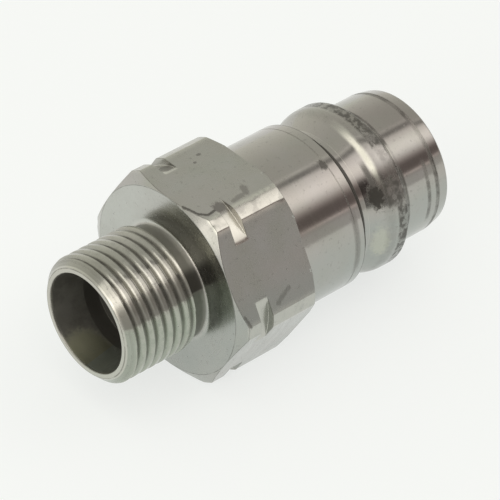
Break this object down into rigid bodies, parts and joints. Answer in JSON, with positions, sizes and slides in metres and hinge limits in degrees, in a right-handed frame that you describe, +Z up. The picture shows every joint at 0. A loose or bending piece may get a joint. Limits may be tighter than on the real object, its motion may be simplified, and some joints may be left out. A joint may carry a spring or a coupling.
{
  "type": "hydraulic quick coupling plug",
  "caption": "Hydraulic quick coupling plug with a poppet valve in its nose, a ball groove and locking ring, a notched spanner hexagon and a threaded stud with a tube cone.",
  "frame": {"origin": "on the surface that the plug lies on, under the middle of its length and width", "axes": "+X along the plug's axis from the tube mouth to the nose, +Z up, square to the hexagon flat that it lies on"},
  "size_m": [0.0552, 0.0302, 0.027],
  "materials": {
    "adapter_steel": "turned and milled, zinc plated, handled and stained",
    "body_steel": "turned, zinc plated, handled and stained",
    "guide_steel": "stamped and plated",
    "poppet_steel": "fine turned and plated",
    "spring_steel": "drawn spring wire, ends ground flat",
    "seal_rubber": "matt black nitrile"
  },
  "bodies": {
    "housing": {"stud_adapter": "adapter_steel", "plug_body": "body_steel", "body_seal": "seal_rubber", "valve_guide": "guide_steel", "valve_spring": "spring_steel"},
    "valve": {"poppet": "poppet_steel", "poppet_seal": "seal_rubber"}
  },
  "joints": [
    {"name": "poppet_slide", "type": "slide", "parent": "housing", "child": "valve", "axis": [-1, 0, 0], "range_m": [0, 0.006], "stiffness_N_per_m": 3300, "springref_m": -0.008, "deforming": ["valve_spring"]}
  ]
}
